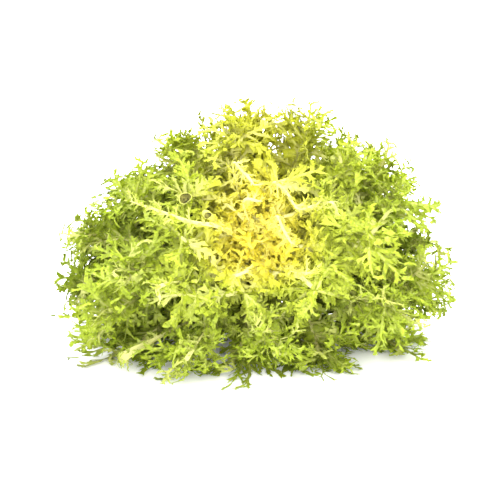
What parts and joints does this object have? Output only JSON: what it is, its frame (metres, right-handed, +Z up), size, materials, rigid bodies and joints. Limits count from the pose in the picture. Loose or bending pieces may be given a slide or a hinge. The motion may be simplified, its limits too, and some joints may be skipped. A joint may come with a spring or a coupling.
{
  "type": "curly endive head",
  "caption": "Head of curly endive cut at the root: finely cut frizzy leaves arch out of a short pale stem, yellow in the heart and green outside, lying tilted on its lowest leaves.",
  "frame": {"origin": "on the table, under the middle of the head's bounding box", "axes": "+Z up from the table, +X to the right along the head's broadest way, -Y towards the heart's side"},
  "size_m": [0.3142, 0.1906, 0.1924],
  "materials": {
    "stem": "satin",
    "heart_leaves": "satin",
    "middle_leaves": "satin",
    "outer_leaves": "satin"
  },
  "bodies": {
    "root": {"stem": "stem", "heart_leaf_01": "heart_leaves", "heart_leaf_02": "heart_leaves", "heart_leaf_03": "heart_leaves", "heart_leaf_04": "heart_leaves", "heart_leaf_05": "heart_leaves", "heart_leaf_06": "heart_leaves", "heart_leaf_07": "heart_leaves", "heart_leaf_08": "heart_leaves", "heart_leaf_09": "heart_leaves", "heart_leaf_10": "heart_leaves", "heart_leaf_11": "heart_leaves", "heart_leaf_12": "heart_leaves", "heart_leaf_13": "heart_leaves", "heart_leaf_14": "heart_leaves", "heart_leaf_15": "heart_leaves", "heart_leaf_16": "heart_leaves", "middle_leaf_01": "middle_leaves", "middle_leaf_02": "middle_leaves", "middle_leaf_03": "middle_leaves", "middle_leaf_04": "middle_leaves", "middle_leaf_05": "middle_leaves", "middle_leaf_06": "middle_leaves", "middle_leaf_07": "middle_leaves", "middle_leaf_08": "middle_leaves", "middle_leaf_09": "middle_leaves", "middle_leaf_10": "middle_leaves", "middle_leaf_11": "middle_leaves", "middle_leaf_12": "middle_leaves", "middle_leaf_13": "middle_leaves", "middle_leaf_14": "middle_leaves", "middle_leaf_15": "middle_leaves", "middle_leaf_16": "middle_leaves", "middle_leaf_17": "middle_leaves", "middle_leaf_18": "middle_leaves", "outer_leaf_01": "outer_leaves", "outer_leaf_02": "outer_leaves", "outer_leaf_03": "outer_leaves", "outer_leaf_04": "outer_leaves", "outer_leaf_05": "outer_leaves", "outer_leaf_06": "outer_leaves", "outer_leaf_07": "outer_leaves", "outer_leaf_08": "outer_leaves", "outer_leaf_09": "outer_leaves", "outer_leaf_10": "outer_leaves", "outer_leaf_11": "outer_leaves", "outer_leaf_12": "outer_leaves", "outer_leaf_13": "outer_leaves", "outer_leaf_14": "outer_leaves", "outer_leaf_15": "outer_leaves", "outer_leaf_16": "outer_leaves", "outer_leaf_17": "outer_leaves", "outer_leaf_18": "outer_leaves", "outer_leaf_19": "outer_leaves", "outer_leaf_20": "outer_leaves", "outer_leaf_21": "outer_leaves", "outer_leaf_22": "outer_leaves", "outer_leaf_23": "outer_leaves", "outer_leaf_24": "outer_leaves", "outer_leaf_25": "outer_leaves"}
  },
  "joints": []
}
